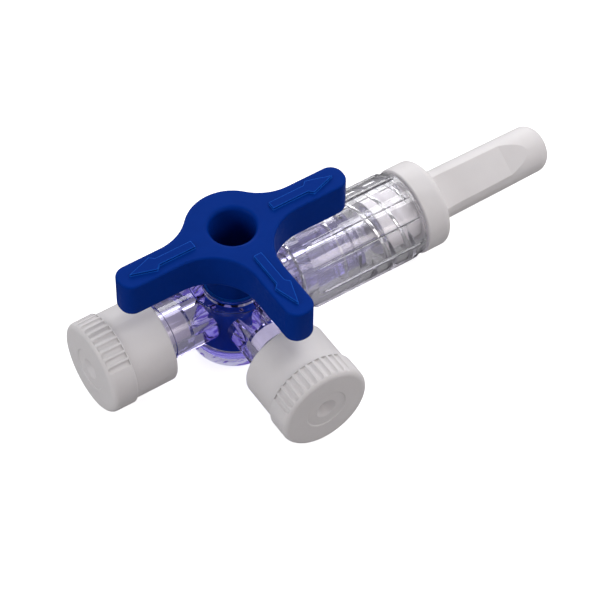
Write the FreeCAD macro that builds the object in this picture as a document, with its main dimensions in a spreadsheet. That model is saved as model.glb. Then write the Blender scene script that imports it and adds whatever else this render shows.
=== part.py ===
import FreeCAD, Part
import math
import os
from types import SimpleNamespace

import Sketcher

# Three way stopcock: a clear barrel with two capped side ports and a male luer under a turning lock
# collar, and a blue tap whose three arms point at the open ports. Millimetres, +Z up, +X towards the
# male luer. The origin is on the tap axis at the foot of the barrel.

SIZES = {
    # Barrel and its tapered bore
    "barrel_radius": 5.2,
    "barrel_height": 10.05,
    "barrel_floor": 1.6,
    "barrel_round": 0.4,
    "axis_height": 6.55,
    "plug_top_radius": 3.5,
    "plug_foot_radius": 3.1,
    "plug_foot_gap": 0.2,
    "turn_clearance": 0.05,
    "snap_height": 0.22,
    "snap_width": 0.7,
    "snap_below_top": 0.8,
    "bore_chamfer": 0.25,
    # Ports
    "tube_radius": 3.34,
    "luer_tube_radius": 3.1,
    "luer_tube_start": 9.6,
    "port_reach": 17.6,
    "lumen_radius": 1.25,
    "luer_slope": 0.03,
    "female_mouth_radius": 2.15,
    "female_depth": 10.7,
    "lug_step": 0.8,
    "lug_width": 3.2,
    "lug_thickness": 1.1,
    # Male luer
    "luer_root": 15.6,
    "root_ring_step": 0.46,
    "root_ring_width": 0.9,
    "male_tip_radius": 1.975,
    "male_tip_projection": 2.1,
    "male_lumen_radius": 1.1,
    # Lock collar
    "collar_start": 7.3,
    "collar_end": 23.78,
    "collar_wall": 1.25,
    "collar_bevel": 1.2,
    "collar_bevel_depth": 0.75,
    "collar_rim_width": 0.25,
    "collar_shelf": 1.6,
    "collar_round": 0.2,
    "collar_play": 0.15,
    "collar_ring_clearance": 0.2,
    "collar_rib_count": 10,
    "collar_rib_height": 0.25,
    "collar_rib_width": 0.6,
    "collar_rib_slope": 0.5,
    # Tap arms
    "neck_radius": 3.3,
    "neck_height": 4.2,
    "arm_thickness": 4.9,
    "arm_reach": 15.0,
    "arm_half_width": 1.75,
    "arm_corner_radius": 1.6,
    "web_radius": 6.0,
    "hub_radius": 5.5,
    "hub_hole_radius": 2.7,
    "hub_hole_depth": 9.0,
    "hub_hole_round": 0.5,
    "hub_rim_round": 0.5,
    "arm_top_round": 0.25,
    "arm_under_round": 0.6,
    "arrow_start": 5.2,
    "arrow_end_gap": 1.5,
    "arrow_head_length": 3.1,
    "arrow_barb_sweep": 0.5,
    "arrow_half_width": 0.5,
    "arrow_head_half_width": 1.0,
    "arrow_height": 0.3,
    # Port caps
    "cap_length": 8.63,
    "cap_end_wall": 1.62,
    "cap_band_length": 3.1,
    "cap_band_step": 0.3,
    "cap_wall": 1.15,
    "cap_bore_clearance": 0.25,
    "cap_face_round": 0.75,
    "cap_step_round": 0.12,
    "cap_mouth_round": 0.3,
    "cap_seat_gap": 0.15,
    "cap_dish_radius": 2.5,
    "cap_dish_depth": 0.12,
    "cap_dimple_radius": 1.3,
    "cap_dimple_depth": 1.0,
    "cap_plug_length": 10.5,
    "cap_plug_clearance": 0.06,
    "flute_count": 11,
    "flute_pitch": 9.6,
    "flute_radius": 0.4,
    "flute_depth": 0.22,
    "flute_margin": 0.4,
    "side_cap_roll": 0.0,
    "front_cap_roll": 14.0,
    # Male luer cap
    "male_cap_gap": 0.12,
    "male_cap_ring_step": 0.2,
    "male_cap_ring_length": 3.4,
    "male_cap_ring_round": 0.9,
    "male_cap_seat_round": 0.25,
    "stem_root_radius": 3.1,
    "stem_tip_radius": 2.95,
    "stem_length": 16.6,
    "stem_end_round": 1.8,
    "stem_bore_radius": 1.5,
    "stem_end_wall": 1.5,
    "stem_flat_distance": 2.3,
    "stem_flat_length": 10.5,
    "stem_flat_run_out": 3.4,
    "stem_roll": 34.0,
    "boss_radius": 3.3,
    "boss_length": 5.2,
    "boss_clearance": 0.08,
    "boss_tip_gap": 0.15,
}

EDGE_TOLERANCE = 0.001

document = FreeCAD.newDocument("three_way_stopcock")


class Size:
    """A number together with the sheet expression that it follows."""

    def __init__(self, number, text):
        self.number = number
        self.text = text

    def __add__(self, other):
        other = as_size(other)
        return Size(self.number + other.number, f"({self.text} + {other.text})")

    def __sub__(self, other):
        other = as_size(other)
        return Size(self.number - other.number, f"({self.text} - {other.text})")

    def __mul__(self, other):
        other = as_size(other)
        return Size(self.number * other.number, f"({self.text} * {other.text})")

    def __truediv__(self, other):
        other = as_size(other)
        return Size(self.number / other.number, f"({self.text} / {other.text})")

    def __radd__(self, other):
        return as_size(other) + self

    def __rmul__(self, other):
        return as_size(other) * self

    def __neg__(self):
        return as_size(0) - self


def as_size(value):
    if isinstance(value, Size):
        return value
    return Size(float(value), str(float(value)))


def root(size):
    return Size(math.sqrt(size.number), f"sqrt({size.text})")


def write_sheet():
    """The driving dimensions, one aliased cell each."""
    sheet = document.addObject("Spreadsheet::Sheet", "sizes")
    for row, (name, number) in enumerate(SIZES.items(), start=1):
        sheet.set(f"A{row}", name)
        sheet.set(f"B{row}", str(number))
        sheet.setAlias(f"B{row}", name)
    document.recompute()


write_sheet()
S = SimpleNamespace(**{name: Size(number, f"sizes.{name}") for name, number in SIZES.items()})

# Heights and distances that several pieces share
HANDLE_UNDER = S.barrel_height + S.neck_height
HANDLE_TOP = HANDLE_UNDER + S.arm_thickness
PLUG_FOOT = S.barrel_floor + S.plug_foot_gap
PLUG_SLOPE = (S.plug_top_radius - S.plug_foot_radius) / (S.barrel_height - PLUG_FOOT)
SNAP_TOP = S.barrel_height - S.snap_below_top
SNAP_FOOT = SNAP_TOP - S.snap_width
LUG_REACH = S.luer_tube_radius + S.lug_step
LUER_TIP = S.collar_end + S.male_tip_projection
MALE_ROOT_RADIUS = S.male_tip_radius + S.luer_slope * (LUER_TIP - S.luer_root)
ROOT_RING_RADIUS = S.tube_radius + S.root_ring_step
SHELF_END = S.luer_root - S.root_ring_width - S.collar_play
RECESS_RADIUS = ROOT_RING_RADIUS + S.collar_ring_clearance
COLLAR_RADIUS = RECESS_RADIUS + S.collar_wall
RING_SEAT = S.collar_end + S.male_cap_gap
BOSS_END = RING_SEAT - S.boss_length


def add_body(name):
    body = document.addObject("PartDesign::Body", name)
    body.Label = name
    return body


def origin_feature(body, role):
    return next(feature for feature in body.Origin.OriginFeatures if feature.Role == role)


def add_sketch(body, name, plane, up=None, out=None):
    """A sketch on one of the body's own planes, moved up within the plane or out along its normal."""
    sketch = body.newObject("Sketcher::SketchObject", name)
    sketch.AttachmentSupport = [(origin_feature(body, plane), "")]
    sketch.MapMode = "FlatFace"
    if up is not None:
        sketch.setExpression("AttachmentOffset.Base.y", up.text)
    if out is not None:
        sketch.setExpression("AttachmentOffset.Base.z", out.text)
    return sketch


def step_between(start, end):
    """Unit step of an edge that runs along one of the sketch's axes."""
    across = as_size(end[0]).number - as_size(start[0]).number
    along = as_size(end[1]).number - as_size(start[1]).number
    if abs(across) > abs(along):
        return (int(math.copysign(1, across)), 0)
    return (0, int(math.copysign(1, along)))


def round_corners(corners):
    """Give each corner that has a radius an arc. Returns the points and {edge: (radius, turn)}."""
    points = []
    arcs = {}
    for index, corner in enumerate(corners):
        if len(corner) == 2:
            points.append(corner)
            continue
        x, y, radius = corner
        into = step_between(corners[index - 1], corner)
        away = step_between(corner, corners[(index + 1) % len(corners)])
        arcs[len(points)] = (radius, into[0] * away[1] - into[1] * away[0])
        points.append((x - radius * into[0], y - radius * into[1]))
        points.append((x + radius * away[0], y + radius * away[1]))
    return points, arcs


def arc_between(start, end, radius, turn):
    """The short arc from start to end, to the left for turn 1 and to the right for turn -1."""
    chord = end - start
    rise = math.sqrt(max(radius ** 2 - (chord.Length / 2) ** 2, 0.0))
    left = FreeCAD.Vector(-chord.y, chord.x, 0).normalize()
    centre = (start + end) * 0.5 + left * (rise * turn)
    first, last = (start, end) if turn > 0 else (end, start)
    angles = [math.atan2(point.y - centre.y, point.x - centre.x) for point in (first, last)]
    if angles[1] < angles[0]:
        angles[1] += 2 * math.pi
    return Part.ArcOfCircle(Part.Circle(centre, FreeCAD.Vector(0, 0, 1), radius), *angles)


def draw_outline(sketch, points, arcs=None):
    """A closed outline through points, whose places and arc radii follow the sheet."""
    arcs = arcs or {}
    points = [(as_size(x), as_size(y)) for x, y in points]
    places = [FreeCAD.Vector(x.number, y.number, 0) for x, y in points]
    base = sketch.GeometryCount
    count = len(points)
    ends = []
    for edge in range(count):
        start, end = places[edge], places[(edge + 1) % count]
        if edge in arcs:
            radius, turn = arcs[edge]
            sketch.addGeometry(arc_between(start, end, radius.number, turn), False)
            ends.append((1, 2) if turn > 0 else (2, 1))
        else:
            sketch.addGeometry(Part.LineSegment(start, end), False)
            ends.append((1, 2))
    for edge in range(count):
        following = (edge + 1) % count
        sketch.addConstraint(Sketcher.Constraint(
            "Coincident", base + edge, ends[edge][1], base + following, ends[following][0]))
    for edge, (x, y) in enumerate(points):
        for kind, size in (("DistanceX", x), ("DistanceY", y)):
            index = sketch.addConstraint(Sketcher.Constraint(
                kind, -1, 1, base + edge, ends[edge][0], size.number))
            sketch.setExpression(f"Constraints[{index}]", size.text)
    for edge, (radius, turn) in arcs.items():
        index = sketch.addConstraint(Sketcher.Constraint("Radius", base + edge, radius.number))
        sketch.setExpression(f"Constraints[{index}]", radius.text)


def draw_rounded(sketch, corners):
    points, arcs = round_corners(corners)
    draw_outline(sketch, points, arcs)


def draw_circle(sketch, x, y, radius):
    x, y, radius = as_size(x), as_size(y), as_size(radius)
    centre = FreeCAD.Vector(x.number, y.number, 0)
    circle = sketch.addGeometry(Part.Circle(centre, FreeCAD.Vector(0, 0, 1), radius.number), False)
    for kind, size in (("DistanceX", x), ("DistanceY", y)):
        index = sketch.addConstraint(Sketcher.Constraint(kind, -1, 1, circle, 3, size.number))
        sketch.setExpression(f"Constraints[{index}]", size.text)
    index = sketch.addConstraint(Sketcher.Constraint("Radius", circle, radius.number))
    sketch.setExpression(f"Constraints[{index}]", radius.text)


def volume_of(body):
    document.recompute()
    return body.Shape.Volume if body.Shape.Solids else 0.0


def check_change(body, name, before, adds):
    """A cut that points away from the solid removes nothing, so the volume is compared."""
    after = volume_of(body)
    if (after <= before) if adds else (after >= before):
        raise RuntimeError(f"{body.Label}: {name} changed nothing ({before:.3f} to {after:.3f})")


def turn_profile(body, name, sketch, axis, cut=False):
    """Turn a sketch a full circle about its own horizontal or vertical axis."""
    before = volume_of(body)
    feature = body.newObject("PartDesign::Groove" if cut else "PartDesign::Revolution", name)
    feature.Profile = sketch
    feature.ReferenceAxis = (sketch, [axis])
    feature.Angle = 360
    body.Tip = feature
    check_change(body, name, before, not cut)
    return feature


def extrude(body, name, sketch, length, cut=False, both_ways=False, reverse=False):
    before = volume_of(body)
    feature = body.newObject("PartDesign::Pocket" if cut else "PartDesign::Pad", name)
    feature.Profile = sketch
    feature.SideType = "Symmetric" if both_ways else "One side"
    feature.Reversed = reverse
    feature.setExpression("Length", length.text)
    body.Tip = feature
    check_change(body, name, before, not cut)
    return feature


def repeat_round(body, name, feature, sketch, axis, angle, count):
    """Copies of a feature, turned about an axis of its sketch."""
    before = volume_of(body)
    pattern = body.newObject("PartDesign::PolarPattern", name)
    pattern.Originals = [feature]
    pattern.Axis = (sketch, [axis])
    pattern.setExpression("Angle", angle.text)
    pattern.setExpression("Occurrences", count.text)
    body.Tip = pattern
    adds = feature.isDerivedFrom("PartDesign::Pad")
    check_change(body, name, before, adds)
    return pattern


def round_outline_edges(body, name, height, radius):
    """Round every edge of the tap's plate that lies at one height."""
    before = volume_of(body)
    base = body.Tip
    edges = []
    for index, edge in enumerate(base.Shape.Edges, start=1):
        box = edge.BoundBox
        level = box.ZLength < EDGE_TOLERANCE and abs(box.ZMin - height.number) < EDGE_TOLERANCE
        middle = edge.valueAt(0.5 * (edge.FirstParameter + edge.LastParameter))
        if level and math.hypot(middle.x, middle.y) > S.neck_radius.number + EDGE_TOLERANCE:
            edges.append(f"Edge{index}")
    feature = body.newObject("PartDesign::Fillet", name)
    feature.Base = (base, edges)
    feature.setExpression("Radius", radius.text)
    body.Tip = feature
    check_change(body, name, before, False)
    return feature


def plug_radius(height):
    return S.plug_foot_radius + PLUG_SLOPE * (height - PLUG_FOOT)


def build_valve_body():
    """Clear moulding: barrel, two female luer ports and the male luer, with their passages."""
    body = add_body("valve_body")
    axis = S.axis_height

    barrel = add_sketch(body, "barrel_profile", "XZ_Plane")
    draw_rounded(barrel, [
        (0, 0),
        (S.barrel_radius, as_size(0), S.barrel_round),
        (S.barrel_radius, S.barrel_height, S.barrel_round / 2),
        (0, S.barrel_height),
    ])
    turn_profile(body, "barrel", barrel, "V_Axis")

    run = add_sketch(body, "run_profile", "XZ_Plane", up=axis)
    ring_start = S.luer_root - S.root_ring_width
    draw_outline(run, [
        (-S.port_reach, 0),
        (LUER_TIP, 0),
        (LUER_TIP, S.male_tip_radius),
        (S.luer_root, MALE_ROOT_RADIUS),
        (S.luer_root, ROOT_RING_RADIUS),
        (ring_start, ROOT_RING_RADIUS),
        (ring_start, S.tube_radius),
        (-S.luer_tube_start, S.tube_radius),
        (-S.luer_tube_start, S.luer_tube_radius),
        (-S.port_reach, S.luer_tube_radius),
    ])
    turn_profile(body, "run", run, "H_Axis")

    front = add_sketch(body, "front_tube_profile", "YZ_Plane", up=axis)
    draw_outline(front, [
        (0, 0),
        (0, S.tube_radius),
        (-S.luer_tube_start, S.tube_radius),
        (-S.luer_tube_start, S.luer_tube_radius),
        (-S.port_reach, S.luer_tube_radius),
        (-S.port_reach, 0),
    ])
    turn_profile(body, "front_tube", front, "H_Axis")

    for name, plane, sign in (("side_lugs", "YZ_Plane", -1), ("front_lugs", "XZ_Plane", 1)):
        lugs = add_sketch(body, f"{name}_outline", plane, up=axis, out=sign * S.port_reach)
        half = S.lug_width / 2
        tip = root(LUG_REACH * LUG_REACH - half * half)
        draw_outline(lugs, [(tip, -half), (tip, half), (-tip, half), (-tip, -half)],
                     {0: (LUG_REACH, 1), 2: (LUG_REACH, 1)})
        extrude(body, name, lugs, S.lug_thickness, reverse=sign > 0)

    bore = add_sketch(body, "bore_profile", "XZ_Plane")
    gap = S.turn_clearance
    top = S.barrel_height
    foot_radius = S.plug_foot_radius - PLUG_SLOPE * S.plug_foot_gap + gap
    groove_foot = SNAP_FOOT - gap
    groove_top = SNAP_TOP + gap
    groove_radius = plug_radius(SNAP_TOP) + S.snap_height + gap
    draw_outline(bore, [
        (0, S.barrel_floor),
        (foot_radius, S.barrel_floor),
        (plug_radius(groove_foot) + gap, groove_foot),
        (groove_radius, groove_foot),
        (groove_radius, groove_top),
        (plug_radius(groove_top) + gap, groove_top),
        (plug_radius(top - S.bore_chamfer) + gap, top - S.bore_chamfer),
        (S.plug_top_radius + gap + S.bore_chamfer, top),
        (0, top),
    ])
    turn_profile(body, "bore", bore, "V_Axis", cut=True)

    female_floor_radius = S.female_mouth_radius - S.luer_slope * S.female_depth
    female_floor = S.port_reach - S.female_depth
    run_lumen = add_sketch(body, "run_lumen_profile", "XZ_Plane", up=axis)
    draw_outline(run_lumen, [
        (-S.port_reach, 0),
        (-S.port_reach, S.female_mouth_radius),
        (-female_floor, female_floor_radius),
        (-female_floor, S.lumen_radius),
        (S.barrel_radius, S.lumen_radius),
        (LUER_TIP, S.male_lumen_radius),
        (LUER_TIP, 0),
    ])
    turn_profile(body, "run_lumen", run_lumen, "H_Axis", cut=True)

    front_lumen = add_sketch(body, "front_lumen_profile", "YZ_Plane", up=axis)
    draw_outline(front_lumen, [
        (-S.port_reach, 0),
        (-S.port_reach, S.female_mouth_radius),
        (-female_floor, female_floor_radius),
        (-female_floor, S.lumen_radius),
        (0, S.lumen_radius),
        (0, 0),
    ])
    turn_profile(body, "front_lumen", front_lumen, "H_Axis", cut=True)
    return body


def draw_arms(sketch):
    """Three arms on a bulged hub: web arcs join arm to arm in front and run into the hub behind."""
    reach, half, corner = S.arm_reach, S.arm_half_width, S.arm_corner_radius
    web, hub = S.web_radius, S.hub_radius
    centre = half + web
    behind = root((hub + web) * (hub + web) - centre * centre)
    share = hub / (hub + web)
    points = [
        (reach, corner - half), (reach, half - corner),
        (reach - corner, half), (behind, half),
        (behind * share, centre * share), (-(behind * share), centre * share),
        (-behind, half), (corner - reach, half),
        (-reach, half - corner), (-reach, corner - half),
        (corner - reach, -half), (-centre, -half),
        (-half, -centre), (-half, corner - reach),
        (corner - half, -reach), (half - corner, -reach),
        (half, corner - reach), (half, -centre),
        (centre, -half), (reach - corner, -half),
    ]
    arcs = {1: (corner, 1), 3: (web, -1), 4: (hub, 1), 5: (web, -1), 7: (corner, 1), 9: (corner, 1),
            11: (web, -1), 13: (corner, 1), 15: (corner, 1), 17: (web, -1), 19: (corner, 1)}
    draw_outline(sketch, points, arcs)


def build_tap_handle():
    """Blue moulding: tapered plug with a T passage, neck, hub and three arms with raised arrows."""
    body = add_body("tap_handle")
    axis = S.axis_height
    rib_radius = plug_radius(SNAP_TOP) + S.snap_height

    plug = add_sketch(body, "plug_profile", "XZ_Plane")
    draw_outline(plug, [
        (0, PLUG_FOOT),
        (S.plug_foot_radius, PLUG_FOOT),
        (plug_radius(SNAP_FOOT), SNAP_FOOT),
        (rib_radius, SNAP_FOOT + S.snap_width / 2),
        (plug_radius(SNAP_TOP), SNAP_TOP),
        (S.plug_top_radius, S.barrel_height),
        (S.neck_radius, S.barrel_height),
        (S.neck_radius, HANDLE_UNDER + S.arm_thickness / 2),
        (0, HANDLE_UNDER + S.arm_thickness / 2),
    ])
    turn_profile(body, "plug", plug, "V_Axis")

    arms = add_sketch(body, "arm_outline", "XY_Plane", out=HANDLE_UNDER)
    draw_arms(arms)
    extrude(body, "arms", arms, S.arm_thickness)
    round_outline_edges(body, "arm_under_edges", HANDLE_UNDER, S.arm_under_round)
    round_outline_edges(body, "arm_top_edges", HANDLE_TOP, S.arm_top_round)

    arrow = add_sketch(body, "arrow_outline", "XY_Plane", out=HANDLE_TOP)
    shaft, head = S.arrow_half_width, S.arrow_head_half_width
    tip = S.arm_reach - S.arrow_end_gap
    barb = tip - S.arrow_head_length
    head_start = barb - S.arrow_barb_sweep
    draw_outline(arrow, [
        (-S.arrow_start, shaft),
        (-head_start, shaft),
        (-barb, head),
        (-tip, 0),
        (-barb, -head),
        (-head_start, -shaft),
        (-S.arrow_start, -shaft),
    ])
    arrow_pad = extrude(body, "arrow", arrow, S.arrow_height)
    repeat_round(body, "arrows", arrow_pad, arrow, "N_Axis", as_size(180), as_size(3))

    hole = add_sketch(body, "hub_hole_profile", "XZ_Plane")
    radius, rim, corner = S.hub_hole_radius, S.hub_rim_round, S.hub_hole_round
    floor = HANDLE_TOP - S.hub_hole_depth
    draw_outline(hole, [
        (0, floor),
        (radius - corner, floor),
        (radius, floor + corner),
        (radius, HANDLE_TOP - rim),
        (radius + rim, HANDLE_TOP),
        (0, HANDLE_TOP),
    ], {1: (corner, 1), 3: (rim, -1)})
    turn_profile(body, "hub_hole", hole, "V_Axis", cut=True)

    across = add_sketch(body, "run_passage_outline", "YZ_Plane", up=axis)
    draw_circle(across, 0, 0, S.lumen_radius)
    extrude(body, "run_passage", across, 2 * S.barrel_radius, cut=True, both_ways=True)
    branch = add_sketch(body, "branch_passage_outline", "XZ_Plane", up=axis)
    draw_circle(branch, 0, 0, S.lumen_radius)
    extrude(body, "branch_passage", branch, S.barrel_radius, cut=True, reverse=True)
    return body


def build_lock_collar():
    """Clear collar: rear skirt, shelf that the luer root ring traps, threaded recess and grip ribs."""
    body = add_body("lock_collar")
    axis = S.axis_height
    shelf_radius = S.tube_radius + S.turn_clearance
    rim_radius = COLLAR_RADIUS - S.collar_bevel_depth
    shelf_start = SHELF_END - S.collar_shelf

    shell = add_sketch(body, "shell_profile", "XZ_Plane", up=axis)
    draw_outline(shell, [
        (S.collar_start, rim_radius - S.collar_rim_width),
        (S.collar_start, rim_radius),
        (S.collar_start + S.collar_bevel, COLLAR_RADIUS),
        (S.collar_end - S.collar_round, COLLAR_RADIUS),
        (S.collar_end, COLLAR_RADIUS - S.collar_round),
        (S.collar_end, RECESS_RADIUS),
        (SHELF_END, RECESS_RADIUS),
        (SHELF_END, shelf_radius),
        (shelf_start, shelf_radius),
        (shelf_start, RECESS_RADIUS),
        (S.collar_start + S.collar_bevel, RECESS_RADIUS),
    ])
    turn_profile(body, "shell", shell, "H_Axis")

    rib = add_sketch(body, "rib_profile", "XY_Plane", out=axis)
    rib_foot = COLLAR_RADIUS - S.collar_wall / 2
    rib_top = COLLAR_RADIUS + S.collar_rib_height
    rib_start = S.collar_start + S.collar_bevel
    rib_end = S.collar_end - S.collar_rib_slope
    draw_outline(rib, [
        (rib_start, rib_foot),
        (rib_end, rib_foot),
        (rib_end, rib_top - S.collar_rib_height),
        (rib_end - S.collar_rib_slope, rib_top),
        (rib_start + S.collar_rib_slope, rib_top),
        (rib_start, rib_top - S.collar_rib_height),
    ])
    rib_pad = extrude(body, "rib", rib, S.collar_rib_width, both_ways=True)
    repeat_round(body, "ribs", rib_pad, rib, "H_Axis", as_size(360), S.collar_rib_count)
    return body


def build_port_cap(name, outward, sideways, roll):
    """White cap for a female port, drawn along +Z from the tap axis and turned to its port."""
    body = add_body(name)
    ceiling = S.port_reach + S.cap_seat_gap
    cone_tip = ceiling - S.cap_plug_length
    mouth_radius = S.female_mouth_radius - S.cap_plug_clearance
    cone_root_radius = mouth_radius + S.luer_slope * S.cap_seat_gap
    cone_tip_radius = mouth_radius - S.luer_slope * (S.port_reach - cone_tip)
    face = ceiling + S.cap_end_wall
    open_end = face - S.cap_length
    band_start = face - S.cap_band_length
    dish_floor = face - S.cap_dish_depth
    bore_radius = LUG_REACH + S.cap_bore_clearance
    skirt_radius = bore_radius + S.cap_wall
    band_radius = skirt_radius + S.cap_band_step

    profile = add_sketch(body, "cap_profile", "XZ_Plane")
    points, arcs = round_corners([
        (0, cone_tip),
        (cone_tip_radius, cone_tip),
        (cone_root_radius, ceiling),
        (bore_radius, ceiling),
        (bore_radius, open_end),
        (skirt_radius, open_end, S.cap_mouth_round),
        (skirt_radius, band_start, S.cap_step_round),
        (band_radius, band_start, S.cap_step_round),
        (band_radius, face, S.cap_face_round),
        (S.cap_dish_radius + S.cap_dish_depth, face),
        (S.cap_dish_radius, dish_floor),
        (S.cap_dimple_radius, dish_floor),
        (0, dish_floor - S.cap_dimple_depth),
    ])
    draw_outline(profile, points, arcs)
    turn_profile(body, "cap", profile, "V_Axis")

    flute_start = band_start + S.cap_step_round
    flute = add_sketch(body, "flute_outline", "XY_Plane", out=flute_start)
    flute_centre = band_radius + S.flute_radius - S.flute_depth
    sweep = S.flute_pitch * (S.flute_count - 1)
    draw_circle(flute, flute_centre, 0, S.flute_radius)
    draw_circle(flute, -flute_centre, 0, S.flute_radius)
    flute.setExpression("AttachmentOffset.Rotation.Angle", (-(sweep / 2)).text)
    length = face - S.cap_face_round + S.flute_margin - flute_start
    flute_cut = extrude(body, "flute", flute, length, cut=True, reverse=True)
    repeat_round(body, "flutes", flute_cut, flute, "N_Axis", sweep, S.flute_count)

    facing = FreeCAD.Rotation(FreeCAD.Vector(0, 0, 1), sideways, outward, "ZXY")
    spin = FreeCAD.Rotation(FreeCAD.Vector(0, 0, 1), roll.number)
    body.Placement = FreeCAD.Placement(FreeCAD.Vector(0, 0, 0), facing * spin)
    body.setExpression("Placement.Base.z", S.axis_height.text)
    return body


def build_male_cap():
    """White cap for the male luer: ring, hollow closed stem with two flats, and a tapered boss."""
    body = add_body("male_luer_cap")
    ring_end = RING_SEAT + S.male_cap_ring_length
    ring_radius = COLLAR_RADIUS + S.male_cap_ring_step
    stem_end = ring_end + S.stem_length
    stem_shoulder = stem_end - S.stem_end_round
    bore_end = stem_end - S.stem_end_wall
    luer_stop = LUER_TIP + S.boss_tip_gap
    tip_bore_radius = S.male_tip_radius + S.boss_clearance
    mouth_bore_radius = tip_bore_radius + S.luer_slope * (luer_stop - BOSS_END)

    profile = add_sketch(body, "cap_profile", "XZ_Plane")
    points, arcs = round_corners([
        (BOSS_END, mouth_bore_radius),
        (luer_stop, tip_bore_radius),
        (luer_stop, S.stem_bore_radius),
        (bore_end, S.stem_bore_radius),
        (bore_end, 0),
        (stem_end, 0),
        (stem_end, S.stem_tip_radius - S.stem_end_round),
        (stem_shoulder, S.stem_tip_radius),
        (ring_end, S.stem_root_radius),
        (ring_end, ring_radius, S.male_cap_ring_round),
        (RING_SEAT, ring_radius, S.male_cap_seat_round),
        (RING_SEAT, S.boss_radius),
        (BOSS_END, S.boss_radius),
    ])
    arcs[6] = (S.stem_end_round, 1)
    draw_outline(profile, points, arcs)
    turn_profile(body, "cap", profile, "H_Axis")

    flats = add_sketch(body, "flat_outline", "XZ_Plane")
    deep = S.stem_root_radius
    flat_end = ring_end + S.stem_flat_length
    run_out = flat_end + S.stem_flat_run_out
    for side in (1, -1):
        low, high = side * S.stem_flat_distance, side * deep
        draw_outline(flats, [(ring_end, low), (flat_end, low), (run_out, high), (ring_end, high)])
    extrude(body, "flats", flats, 2 * S.stem_root_radius, cut=True, both_ways=True)

    spin = FreeCAD.Rotation(FreeCAD.Vector(1, 0, 0), S.stem_roll.number)
    body.Placement = FreeCAD.Placement(FreeCAD.Vector(0, 0, 0), spin)
    body.setExpression("Placement.Base.z", S.axis_height.text)
    return body


def export(bodies):
    """Check every object, then write each piece to its own file."""
    document.recompute()
    for item in document.Objects:
        if "Invalid" in item.State or "Error" in item.State:
            raise RuntimeError(f"{item.Label} failed: {item.State}")
    os.makedirs("parts", exist_ok=True)
    for body in bodies:
        shape = body.Shape
        if shape.isNull() or not shape.isValid():
            raise RuntimeError(f"{body.Label} has no valid shape")
        shape.exportStep(f"parts/{body.Label}.step")
        print(f"{body.Label}: {len(shape.Solids)} solid, {shape.Volume:.1f} mm3")


export([
    build_valve_body(),
    build_tap_handle(),
    build_lock_collar(),
    build_port_cap("side_port_cap", FreeCAD.Vector(-1, 0, 0), FreeCAD.Vector(0, 1, 0), S.side_cap_roll),
    build_port_cap("front_port_cap", FreeCAD.Vector(0, -1, 0), FreeCAD.Vector(-1, 0, 0), S.front_cap_roll),
    build_male_cap(),
])
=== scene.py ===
import math

import bpy
from mathutils import Matrix, Vector


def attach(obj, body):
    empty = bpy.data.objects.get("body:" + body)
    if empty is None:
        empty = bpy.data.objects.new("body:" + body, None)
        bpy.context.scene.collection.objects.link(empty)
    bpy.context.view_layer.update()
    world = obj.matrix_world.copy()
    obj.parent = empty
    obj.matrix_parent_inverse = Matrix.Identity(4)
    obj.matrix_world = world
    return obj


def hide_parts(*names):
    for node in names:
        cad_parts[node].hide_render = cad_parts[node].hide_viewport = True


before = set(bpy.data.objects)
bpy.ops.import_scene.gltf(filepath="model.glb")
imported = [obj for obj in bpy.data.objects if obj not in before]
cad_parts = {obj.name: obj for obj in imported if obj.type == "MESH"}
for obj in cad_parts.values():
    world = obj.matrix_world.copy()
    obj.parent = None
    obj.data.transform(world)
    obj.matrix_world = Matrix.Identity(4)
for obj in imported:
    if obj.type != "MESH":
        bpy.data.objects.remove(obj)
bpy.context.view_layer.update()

# Lengths are in millimetres unless a comment says metres. The tap's axis is Z and the male luer runs along X.
MM = 0.001


# Shapes

# Heights of the barrel's top and of the lumens' axis over the foot
BARREL_TOP = 10.05
AXIS_HEIGHT = 6.55

# Tapered bore: the height of the plug's foot, and the bore's radii there and at the barrel's top. The plug's
# wetted face lies a hair inside the clear wall and ends just below the barrel's top.
BORE = {"foot": 1.8, "foot_radius": 3.15, "top_radius": 3.55, "wetting": 0.012, "top_gap": 0.05}
PLUG_GRID = {"rows": 24, "columns": 128}

# Frosted ring just inside the barrel's foot, dished upwards towards its middle
FOOT_FACE = {"height": 0.03, "dish": 0.15, "inner_radius": 2.8, "outer_radius": 4.9}
FOOT_GRID = {"rows": 8, "columns": 96}

# Lock collar, with places along the run from the tap's axis. The bevel is at its rear rim, the round at its
# front rim, and the shelf is the step inside that the male luer's root ring traps.
COLLAR = {
    "start": 7.3,
    "end": 23.78,
    "radius": 5.25,
    "recess": 4.0,
    "lip_radius": 3.45,
    "shelf_radius": 3.39,
    "shelf_start": 12.95,
    "shelf_end": 14.55,
    "bevel": 1.2,
    "bevel_depth": 0.75,
    "round": 0.2,
}
COLLAR_COLUMNS = 360
ROUND_STEPS = 4

# Grip ribs. The flank is the width of a rib's side in degrees round the run, the slope is the run-out at each
# end, and inset, landing and step place the rows of points.
RIB = {
    "count": 10,
    "height": 0.25,
    "width": 0.6,
    "flank": 1.4,
    "start": 8.5,
    "end": 23.28,
    "slope": 0.5,
    "inset": 0.02,
    "landing": 0.05,
    "step": 0.4,
}

# Two-start thread on the recess wall. The foot is its width along the run, the phase shifts it along the run,
# and it fades in and out over short lengths at its ends.
THREAD = {
    "start": 16.2,
    "end": 23.3,
    "lead": 5.6,
    "starts": 2,
    "phase": 0.7,
    "height": 0.45,
    "foot": 1.5,
    "fade_in": 0.8,
    "fade_out": 0.5,
    "step": 0.08,
}

# Edges sharper than this many degrees stay sharp
COLLAR_SHARP = 30
FACE_SHARP = 60


# Camera, light and surroundings

# Angles in degrees, distance, shifts, lens and sensor in millimetres
CAMERA = {
    "azimuth": -34.057,
    "elevation": 50.806,
    "roll": 0.74,
    "distance": 329.412,
    "right": 7.705,
    "up": -0.331,
    "lens": 170.884,
    "sensor": 36.0,
}
CLIP_METRES = {"near": 0.01, "far": 20.0}

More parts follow.
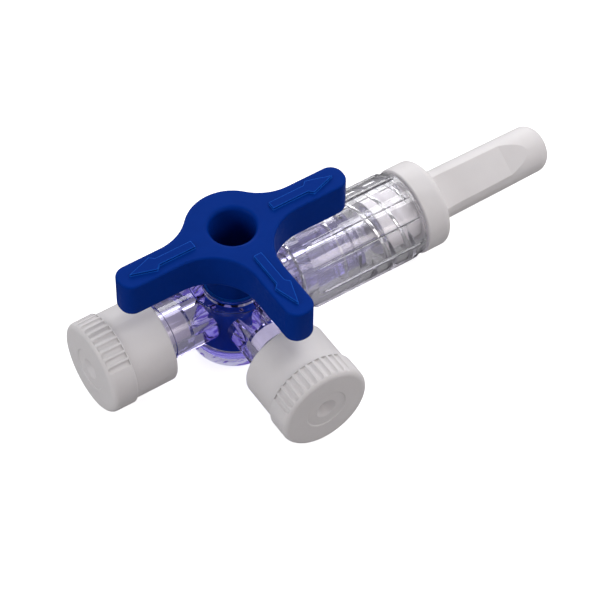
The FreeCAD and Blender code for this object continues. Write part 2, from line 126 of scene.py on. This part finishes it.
# Light passes many clear walls on its way through the barrel and the collar
RAY_BOUNCES = 32

# Softboxes as (name, place, width and height, watts, colour), in metres, all aimed at the stopcock's middle
LIGHT_AIM = (0.008, 0, 0.008)
WHITE_LIGHT = (1.0, 1.0, 1.0)
WARM_LIGHT = (1.0, 0.94, 0.90)
SOFTBOXES = (
    ("back_key", (0.22, 0.46, 0.28), (0.60, 0.22), 1.8, WHITE_LIGHT),
    ("right_key", (0.15, -0.02, 0.20), (0.12, 0.14), 0.24, WHITE_LIGHT),
    ("left_fill", (-0.50, 0.05, 0.22), (0.25, 0.30), 1.1, WHITE_LIGHT),
    ("front_fill", (0.10, -0.45, 0.35), (0.30, 0.20), 0.62, WARM_LIGHT),
)

# The room's grey from the horizon (0) to straight overhead (1), with a little more blue than red
ROOM_GREYS = ((0.0, 0.45), (0.30, 0.36), (0.60, 0.12), (0.86, 0.10), (1.0, 0.20))
ROOM_BLUE = 1.05

# How bright the room is as a light, and as it shows through the clear parts
ROOM_LIGHT = {"plain": 0.8, "through_plastic": 2.0}

# The sweep lies a hair below the barrel's foot, so that the two faces don't coincide
FLOOR_HEIGHT = -0.02
FLOOR_HALF = 900.0

# Light that the sweep gives off on top of what falls on it: seen directly, where it shows white, and seen
# through the clear parts, which it lights from below
FLOOR_GLOW = 0.75
UNDER_GLOW = 0.25

# Greys of the sweep: its own mottled paint, and then what it gives the part by bounce, in mirror reflections
# and through the clear plastic
SWEEP_GREYS = {"low": 0.80, "high": 0.84, "bounced": 0.45, "mirrored": 0.08, "through": 0.08}


# Colours

TAP_BLUE = {"dark": (0.0002, 0.024, 0.215, 1), "light": (0.0003, 0.029, 0.25, 1)}
# A lighter copy of the tap's blue for the plug's wetted face inside the barrel: painted light, standing in
# for light that reaches the plug through the clear wall
WET_PLUG_PAINTED_LIGHT_BLUE = {"dark": (0.0004, 0.052, 0.44, 1), "light": (0.0005, 0.060, 0.50, 1)}
# Paler blue for a painted highlight along the edges, where the back light would catch them
BLUE_PAINTED_EDGE_HIGHLIGHT = (0.010, 0.125, 0.66, 1)
CAP_WHITE = {
    "dark": (0.74, 0.715, 0.725, 1),
    "light": (0.79, 0.765, 0.775, 1),
    # Grey for the painted shade deep in grooves and dimples
    "groove": (0.55, 0.53, 0.53, 1),
}
# Frosted foot: its pale and streaked colours, and the strength of a painted glow in them
FROST = {"pale": (1.0, 1.0, 1.0, 1), "streak": (0.30, 0.22, 0.62, 1), "glow": 0.40}

# Clear plastics: the surface's tint and the share of light it lets through, then the colour that light turns
# to in the thickness, and how fast, per metre
CLEAR_BODY = {
    "tint": (0.97, 0.965, 0.99, 1),
    "clarity": 0.997,
    "thick_colour": (0.34, 0.27, 0.74, 1),
    "density": 165.0,
}
CLEAR_COLLAR = {
    "tint": (0.97, 0.97, 0.98, 1),
    "clarity": 0.94,
    "thick_colour": (0.50, 0.46, 0.60, 1),
    "density": 80.0,
}
POLYCARBONATE_IOR = 1.58

# Softened edges, and the mask of the painted edge highlight: how far the rounded and the plain normal agree
# on a flat face, and on an edge's rounding
EDGE_AGREEMENT = {"flat": 0.985, "rounded": 0.86}
EDGE_SAMPLES = 6

# Share of open sky deep in a groove, and on a face that counts as open, for the painted shade in grooves
SKY_SHARE = {"groove": 0.30, "open": 0.92}
SKY_SAMPLES = 8


# Camera and light

def camera_axes():
    azimuth, elevation, roll = (math.radians(CAMERA[name]) for name in ("azimuth", "elevation", "roll"))
    back = Vector((
        math.sin(azimuth) * math.cos(elevation),
        -math.cos(azimuth) * math.cos(elevation),
        math.sin(elevation),
    ))
    level = Vector((0, 0, 1)).cross(back).normalized()
    above = back.cross(level)
    right = level * math.cos(roll) + above * math.sin(roll)
    up = above * math.cos(roll) - level * math.sin(roll)
    return right, up, back


def add_camera():
    right, up, back = camera_axes()
    place = back * CAMERA["distance"] + right * CAMERA["right"] + up * CAMERA["up"]
    place += Vector((0, 0, AXIS_HEIGHT))
    camera = bpy.data.objects.new("camera", bpy.data.cameras.new("camera"))
    camera.data.lens = CAMERA["lens"]
    camera.data.sensor_width = CAMERA["sensor"]
    camera.data.clip_start = CLIP_METRES["near"]
    camera.data.clip_end = CLIP_METRES["far"]
    turn = Matrix((right, up, back)).transposed().to_4x4()
    camera.matrix_world = Matrix.Translation(place * MM) @ turn
    bpy.context.scene.collection.objects.link(camera)
    bpy.context.scene.camera = camera


def add_softbox(name, place, size, power, colour):
    light = bpy.data.lights.new(name, "AREA")
    light.shape = "RECTANGLE"
    light.size, light.size_y = size
    light.energy = power
    light.color = colour
    box = bpy.data.objects.new(name, light)
    box.location = place
    box.rotation_euler = (Vector(LIGHT_AIM) - Vector(place)).to_track_quat("-Z", "Y").to_euler()
    bpy.context.scene.collection.objects.link(box)


def add_world():
    """A dim room round the sweep: pale at the horizon and below, dark above, a little lighter overhead."""
    world = bpy.data.worlds.new("tent")
    world.use_nodes = True
    tree = world.node_tree
    tree.nodes.clear()
    direction = add_node(tree, "ShaderNodeTexCoord").outputs["Generated"]
    height = add_node(tree, "ShaderNodeSeparateXYZ", {"Vector": direction}).outputs["Z"]
    ramp = add_node(tree, "ShaderNodeValToRGB", {"Fac": height})
    for position, level in ROOM_GREYS:
        stop = ramp.color_ramp.elements.new(position)
        stop.color = (level, level, level * ROOM_BLUE, 1)
    ramp.color_ramp.elements.remove(ramp.color_ramp.elements[0])
    ramp.color_ramp.elements.remove(ramp.color_ramp.elements[-1])
    ray = add_node(tree, "ShaderNodeLightPath")
    strength = add_node(tree, "ShaderNodeMapRange", {
        "Value": ray.outputs["Is Transmission Ray"],
        "To Min": ROOM_LIGHT["plain"],
        "To Max": ROOM_LIGHT["through_plastic"],
    })
    light = add_node(tree, "ShaderNodeBackground", {
        "Color": ramp.outputs["Color"],
        "Strength": strength.outputs["Result"],
    })
    add_node(tree, "ShaderNodeOutputWorld", {"Surface": light.outputs["Background"]})
    bpy.context.scene.world = world


# Node helpers

def new_tree(name):
    material = bpy.data.materials.new(name)
    material.use_nodes = True
    material.node_tree.nodes.clear()
    return material, material.node_tree


def add_node(tree, kind, inputs=None, **settings):
    """Add a node, link the inputs that are sockets and set the others."""
    node = tree.nodes.new(kind)
    for name, value in settings.items():
        setattr(node, name, value)
    for name, value in (inputs or {}).items():
        if isinstance(value, bpy.types.NodeSocket):
            tree.links.new(value, node.inputs[name])
        else:
            node.inputs[name].default_value = value
    return node


def calculate(tree, operation, first, second):
    return add_node(tree, "ShaderNodeMath", {0: first, 1: second}, operation=operation).outputs["Value"]


def grain(tree, per_mm, detail=3.0, stretch=None):
    """Noise in the piece's own frame, with about per_mm lumps a millimetre."""
    place = add_node(tree, "ShaderNodeTexCoord").outputs["Object"]
    if stretch is not None:
        place = add_node(tree, "ShaderNodeMapping", {"Vector": place, "Scale": stretch}).outputs["Vector"]
    noise = add_node(tree, "ShaderNodeTexNoise", {"Vector": place, "Scale": per_mm / MM, "Detail": detail})
    return noise.outputs["Fac"]


def between(tree, factor, low, high, lowest=0.3, highest=0.7):
    """Map a factor from lowest..highest to low..high. Noise mostly lies in 0.3..0.7."""
    spread = add_node(tree, "ShaderNodeMapRange", {
        "Value": factor,
        "From Min": lowest,
        "From Max": highest,
        "To Min": low,
        "To Max": high,
    })
    return spread.outputs["Result"]


def grey(level):
    return (level, level, level, 1)


def blend(tree, factor, first, second):
    """The first colour where the factor is 0, the second where it is 1."""
    mix = add_node(tree, "ShaderNodeMix", data_type="RGBA")
    colour_in, colour_out = (socket for socket in mix.inputs if socket.type == "RGBA")
    tree.links.new(factor, mix.inputs["Factor"])
    for socket, colour in ((colour_in, first), (colour_out, second)):
        if isinstance(colour, bpy.types.NodeSocket):
            tree.links.new(colour, socket)
        else:
            socket.default_value = colour
    return next(socket for socket in mix.outputs if socket.type == "RGBA")


def rounded_normal(tree, radius):
    """The surface's normal with its sharp edges rounded to a radius in millimetres."""
    bevel = add_node(tree, "ShaderNodeBevel", {"Radius": radius * MM}, samples=EDGE_SAMPLES)
    return bevel.outputs["Normal"]


def bumps(tree, layers, edge_radius=None):
    """Stack bump layers of (height socket, depth in millimetres), on softened edges if a radius is given."""
    normal = None
    if edge_radius is not None:
        normal = rounded_normal(tree, edge_radius)
    for height, depth in layers:
        inputs = {"Height": height, "Distance": depth * MM, "Strength": 1.0}
        if normal is not None:
            inputs["Normal"] = normal
        normal = add_node(tree, "ShaderNodeBump", inputs).outputs["Normal"]
    return normal


def edge_share(tree, radius):
    """1 on the rounding of a sharp edge, 0 on the faces beside it."""
    rounded = rounded_normal(tree, radius)
    plain = add_node(tree, "ShaderNodeNewGeometry").outputs["Normal"]
    agree = add_node(tree, "ShaderNodeVectorMath", {0: rounded, 1: plain}, operation="DOT_PRODUCT")
    return between(
        tree, agree.outputs["Value"], 0.0, 1.0,
        lowest=EDGE_AGREEMENT["flat"], highest=EDGE_AGREEMENT["rounded"],
    )


def openness(tree, reach):
    """1 on open faces, falling to 0 deep in grooves and dimples narrower than reach millimetres."""
    sky = add_node(
        tree, "ShaderNodeAmbientOcclusion", {"Distance": reach * MM},
        samples=SKY_SAMPLES, only_local=True,
    )
    return between(
        tree, sky.outputs["AO"], 0.0, 1.0,
        lowest=SKY_SHARE["groove"], highest=SKY_SHARE["open"],
    )


def finish_surface(tree, shader):
    add_node(tree, "ShaderNodeOutputMaterial", {"Surface": shader})


# Materials

def make_blue_plastic(name, blue):
    """Moulded polyethylene: deep blue, satin, with a faint orange peel, softened edges and a painted
    highlight of paler blue on them.
    """
    material, tree = new_tree(name)
    face = blend(tree, grain(tree, per_mm=0.5), blue["dark"], blue["light"])
    # Painted highlight: paler blue on the rounding of the sharp edges
    colour = blend(tree, edge_share(tree, radius=0.2), face, BLUE_PAINTED_EDGE_HIGHLIGHT)
    peel = [(grain(tree, per_mm=1.6), 0.012), (grain(tree, per_mm=9.0), 0.003)]
    shader = add_node(tree, "ShaderNodeBsdfPrincipled", {
        "Base Color": colour,
        "Roughness": between(tree, grain(tree, per_mm=2.5), 0.40, 0.52),
        "Specular IOR Level": 0.03,
        "Normal": bumps(tree, peel, edge_radius=0.14),
    })
    finish_surface(tree, shader.outputs["BSDF"])
    return material


def make_white_plastic():
    """Moulded polyethylene: matt white that light sinks into a little, with painted shade deep in its grooves
    and dimples.
    """
    material, tree = new_tree("cap_white")
    open_colour = blend(tree, grain(tree, per_mm=0.4), CAP_WHITE["dark"], CAP_WHITE["light"])
    # Painted shade: the white turns grey where little open sky reaches, deep in grooves and dimples
    colour = blend(tree, openness(tree, reach=0.8), CAP_WHITE["groove"], open_colour)
    peel = [(grain(tree, per_mm=1.2), 0.015), (grain(tree, per_mm=8.0), 0.004)]
    shader = add_node(tree, "ShaderNodeBsdfPrincipled", {
        "Base Color": colour,
        "Roughness": between(tree, grain(tree, per_mm=2.0), 0.42, 0.58),
        "Specular IOR Level": 0.4,
        "Subsurface Weight": 0.25,
        "Subsurface Scale": 0.25 * MM,
        "Subsurface Radius": (1.0, 0.95, 0.9),
        "Normal": bumps(tree, peel, edge_radius=0.12),
    })
    finish_surface(tree, shader.outputs["BSDF"])
    return material


def make_clear_plastic(name, clear):
    """Clear polycarbonate: faint flow waves, a little haze and a violet cast that grows with thickness."""
    material, tree = new_tree(name)
    flow = grain(tree, per_mm=0.30, detail=1.0, stretch=(0.4, 1.0, 1.0))
    waves = bumps(tree, [(flow, 0.003), (grain(tree, per_mm=5.0), 0.0004)])
    glass = add_node(tree, "ShaderNodeBsdfPrincipled", {
        "Base Color": clear["tint"],
        "Roughness": between(tree, grain(tree, per_mm=1.5), 0.01, 0.06),
        "IOR": POLYCARBONATE_IOR,
        "Transmission Weight": clear["clarity"],
        "Normal": waves,
    })
    shadow = add_node(tree, "ShaderNodeBsdfTransparent", {"Color": clear["tint"]})
    ray = add_node(tree, "ShaderNodeLightPath")
    mix = add_node(tree, "ShaderNodeMixShader", {
        "Fac": ray.outputs["Is Shadow Ray"],
        1: glass.outputs["BSDF"],
        2: shadow.outputs["BSDF"],
    })
    depth = add_node(tree, "ShaderNodeVolumeAbsorption", {
        "Color": clear["thick_colour"],
        "Density": clear["density"],
    })
    add_node(tree, "ShaderNodeOutputMaterial", {
        "Surface": mix.outputs["Shader"],
        "Volume": depth.outputs["Volume"],
    })
    return material


def make_frosted_foot():
    """The foot's ground underside through the clear barrel: pale and streaked, with a painted glow in its own
    colour that stands in for the sweep's light from below.
    """
    material, tree = new_tree("frosted_foot_painted_glow")
    streaks = grain(tree, per_mm=1.3, detail=4.0, stretch=(0.35, 1.0, 1.0))
    streak_share = between(tree, streaks, 0.0, 1.0, lowest=0.49, highest=0.57)
    colour = blend(tree, streak_share, FROST["pale"], FROST["streak"])
    shader = add_node(tree, "ShaderNodeBsdfPrincipled", {
        "Base Color": colour,
        "Roughness": between(tree, grain(tree, per_mm=3.0), 0.5, 0.8),
        "Specular IOR Level": 0.1,
        # Painted glow: the foot gives off light in its own colour, in place of the sweep's light coming up
        # through it
        "Emission Color": colour,
        "Emission Strength": FROST["glow"],
        "Normal": bumps(tree, [(streaks, 0.02)]),
    })
    finish_surface(tree, shader.outputs["BSDF"])
    return material


def make_floor_paint():
    """The white sweep: it shows plain white, and gives the part less light than it shows."""
    material, tree = new_tree("floor_paint")
    paint = blend(tree, grain(tree, per_mm=0.02), grey(SWEEP_GREYS["low"]), grey(SWEEP_GREYS["high"]))
    ray = add_node(tree, "ShaderNodeLightPath").outputs
    mirrored = calculate(tree, "MULTIPLY", ray["Is Glossy Ray"], ray["Is Reflection Ray"])
    bounced = blend(tree, mirrored, grey(SWEEP_GREYS["bounced"]), grey(SWEEP_GREYS["mirrored"]))
    indirect = blend(tree, ray["Is Transmission Ray"], bounced, grey(SWEEP_GREYS["through"]))
    colour = blend(tree, ray["Is Camera Ray"], indirect, paint)
    shader = add_node(tree, "ShaderNodeBsdfPrincipled", {
        "Base Color": colour,
        "Roughness": between(tree, grain(tree, per_mm=0.05), 0.75, 0.9),
        "Specular IOR Level": 0.1,
    })
    direct = calculate(tree, "MULTIPLY", ray["Is Camera Ray"], FLOOR_GLOW)
    through = calculate(tree, "MULTIPLY", ray["Is Transmission Ray"], UNDER_GLOW)
    lamp = add_node(tree, "ShaderNodeEmission", {"Strength": calculate(tree, "ADD", direct, through)})
    both = add_node(tree, "ShaderNodeAddShader", {0: shader.outputs["BSDF"], 1: lamp.outputs["Emission"]})
    finish_surface(tree, both.outputs["Shader"])
    return material


# Mesh helpers

def mesh_object(name, points, faces, material):
    """A mesh from points in millimetres, with one material."""
    mesh = bpy.data.meshes.new(name)
    mesh.from_pydata([tuple(coordinate * MM for coordinate in point) for point in points], [], faces)
    mesh.materials.append(material)
    mesh.validate()
    piece = bpy.data.objects.new(name, mesh)
    bpy.context.scene.collection.objects.link(piece)
    return piece


def smooth_by_angle(piece, degrees):
    for face in piece.data.polygons:
        face.use_smooth = True
    piece.data.set_sharp_from_angle(angle=math.radians(degrees))


def ring(radius, height, columns):
    """Points round the tap's axis."""
    angles = [2 * math.pi * column / columns for column in range(columns)]
    return [(radius * math.cos(angle), radius * math.sin(angle), height) for angle in angles]


def band(row, next_row, columns):
    """Faces between two rows of points, each closed on itself."""
    faces = []
    for column in range(columns):
        after = (column + 1) % columns
        faces.append((
            row * columns + column,
            row * columns + after,
            next_row * columns + after,
            next_row * columns + column,
        ))
    return faces


def open_grid(rows, columns):
    """Faces of a tube with two open ends."""
    return [face for row in range(rows) for face in band(row, row + 1, columns)]


def closed_grid(rows, columns):
    """Faces of a ring whose section closes on itself."""
    return [face for row in range(rows) for face in band(row, (row + 1) % rows, columns)]


def ease(value):
    """0 to 1 with a soft start and end, and level outside."""
    value = min(max(value, 0.0), 1.0)
    return value * value * (3 - 2 * value)


def stations(first, last, step):
    """Evenly spaced places from first to last, about a step apart."""
    count = max(1, round(abs(last - first) / step))
    return [first + (last - first) * index / count for index in range(count + 1)]


def from_nearest(place, pitch):
    """Distance to the nearest whole multiple of the pitch."""
    return abs((place + pitch / 2) % pitch - pitch / 2)


# Pieces

def add_floor(material):
    half = FLOOR_HALF
    corners = [(x, y, FLOOR_HEIGHT) for x, y in ((-half, -half), (half, -half), (half, half), (-half, half))]
    mesh_object("floor", corners, [(0, 1, 2, 3)], material)


def rib_share(degrees):
    """How much of a rib stands at this angle round the run: 1 on its top, 0 between ribs."""
    offset = from_nearest(degrees, 360 / RIB["count"])
    half = math.degrees(RIB["width"] / 2 / COLLAR["radius"])
    return ease((half + RIB["flank"] / 2 - offset) / RIB["flank"])


def rib_rise(along):
    """How far a rib has risen at this place along the run: 1 on its length, 0 at its two ends."""
    rise = min((along - RIB["start"]) / RIB["slope"], (RIB["end"] - along) / RIB["slope"])
    return min(max(rise, 0.0), 1.0)


def thread_rise(along, degrees):
    """Height of the two-start thread at a place on the recess wall."""
    turned = along + THREAD["phase"] - THREAD["lead"] * degrees / 360
    offset = from_nearest(turned, THREAD["lead"] / THREAD["starts"])
    share = ease(1 - offset / (THREAD["foot"] / 2))
    ends = min((along - THREAD["start"]) / THREAD["fade_in"], (THREAD["end"] - along) / THREAD["fade_out"])
    return THREAD["height"] * share * ease(ends)


def collar_outside():
    """The collar's outside from its rear rim to its front rim, as (along, radius, kind)."""
    radius = COLLAR["radius"]
    first_rib, last_rib = RIB["start"] + RIB["inset"], RIB["end"] - RIB["inset"]
    points = [
        (COLLAR["start"], radius - COLLAR["bevel_depth"], "plain"),
        (COLLAR["start"] + COLLAR["bevel"], radius, "plain"),
    ]
    points += [(along, radius, "ribs") for along in stations(first_rib, last_rib, RIB["step"])]
    points.append((RIB["end"] + RIB["landing"], radius, "plain"))
    for step in range(ROUND_STEPS + 1):
        turn = math.pi / 2 * step / ROUND_STEPS
        along = COLLAR["end"] - COLLAR["round"] * (1 - math.sin(turn))
        points.append((along, radius - COLLAR["round"] * (1 - math.cos(turn)), "plain"))
    return points


def collar_inside():
    """The collar's inside from its front rim over the shelf to its rear lip, as (along, radius, kind)."""
    recess = stations(COLLAR["end"], COLLAR["shelf_end"], THREAD["step"])
    points = [(along, COLLAR["recess"], "thread") for along in recess]
    points += [
        (COLLAR["shelf_end"], COLLAR["shelf_radius"], "plain"),
        (COLLAR["shelf_start"], COLLAR["shelf_radius"], "plain"),
        (COLLAR["shelf_start"], COLLAR["recess"], "plain"),
        (COLLAR["start"] + COLLAR["bevel"], COLLAR["recess"], "plain"),
        (COLLAR["start"], COLLAR["lip_radius"], "plain"),
    ]
    return points


def build_collar(material):
    """The lock collar again, with the thread that its plain recess leaves out."""
    points = []
    section = collar_outside() + collar_inside()
    for along, radius, kind in section:
        for column in range(COLLAR_COLUMNS):
            degrees = 360 * column / COLLAR_COLUMNS
            reach = radius
            if kind == "ribs":
                reach += RIB["height"] * rib_rise(along) * rib_share(degrees)
            if kind == "thread":
                reach -= thread_rise(along, degrees)
            angle = math.radians(degrees)
            points.append((along, reach * math.cos(angle), AXIS_HEIGHT + reach * math.sin(angle)))
    faces = closed_grid(len(section), COLLAR_COLUMNS)
    collar = mesh_object("lock_collar_threaded", points, faces, material)
    smooth_by_angle(collar, COLLAR_SHARP)
    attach(collar, "collar")
    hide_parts("lock_collar")


def build_plug_face(material):
    """The plug's tapered side as it looks where it is pressed wet against the bore."""
    rows, columns = PLUG_GRID["rows"], PLUG_GRID["columns"]
    slope = (BORE["top_radius"] - BORE["foot_radius"]) / (BARREL_TOP - BORE["foot"])
    points = []
    for row in range(rows + 1):
        height = BORE["foot"] + (BARREL_TOP - BORE["top_gap"] - BORE["foot"]) * row / rows
        radius = BORE["foot_radius"] + slope * (height - BORE["foot"]) + BORE["wetting"]
        points += ring(radius, height, columns)
    face = mesh_object("plug_face", points, open_grid(rows, columns), material)
    smooth_by_angle(face, FACE_SHARP)
    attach(face, "tap")


def build_foot_face(material):
    """The dished ring just inside the barrel's foot, its ground underside, which scatters the light and
    carries a painted glow.
    """
    rows, columns = FOOT_GRID["rows"], FOOT_GRID["columns"]
    width = FOOT_FACE["inner_radius"] - FOOT_FACE["outer_radius"]
    points = []
    for row in range(rows + 1):
        share = row / rows
        radius = FOOT_FACE["outer_radius"] + width * share
        height = FOOT_FACE["height"] + FOOT_FACE["dish"] * ease(share)
        points += ring(radius, height, columns)
    face = mesh_object("foot_face", points, open_grid(rows, columns), material)
    smooth_by_angle(face, FACE_SHARP)
    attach(face, "body")


def dress_cad_nodes(materials):
    for name, material in materials.items():
        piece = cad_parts[name]
        piece.data.materials.clear()
        piece.data.materials.append(material)


def set_up_view():
    scene = bpy.context.scene
    scene.view_settings.view_transform = "Standard"
    scene.cycles.max_bounces = RAY_BOUNCES
    scene.cycles.transmission_bounces = RAY_BOUNCES
    scene.cycles.transparent_max_bounces = RAY_BOUNCES


def main():
    add_camera()
    for softbox in SOFTBOXES:
        add_softbox(*softbox)
    add_world()
    set_up_view()
    blue = make_blue_plastic("tap_blue", TAP_BLUE)
    # Painted light: the plug's wetted face gets the lighter copy of the blue
    wet_plug_painted_light_blue = make_blue_plastic("wet_plug_painted_light_blue", WET_PLUG_PAINTED_LIGHT_BLUE)
    white = make_white_plastic()
    clear_body = make_clear_plastic("clear_body", CLEAR_BODY)
    clear_collar = make_clear_plastic("clear_collar", CLEAR_COLLAR)
    add_floor(make_floor_paint())
    dress_cad_nodes({
        "valve_body": clear_body,
        "tap_handle": blue,
        "side_port_cap": white,
        "front_port_cap": white,
        "male_luer_cap": white,
    })
    build_collar(clear_collar)
    build_plug_face(wet_plug_painted_light_blue)
    build_foot_face(make_frosted_foot())


main()
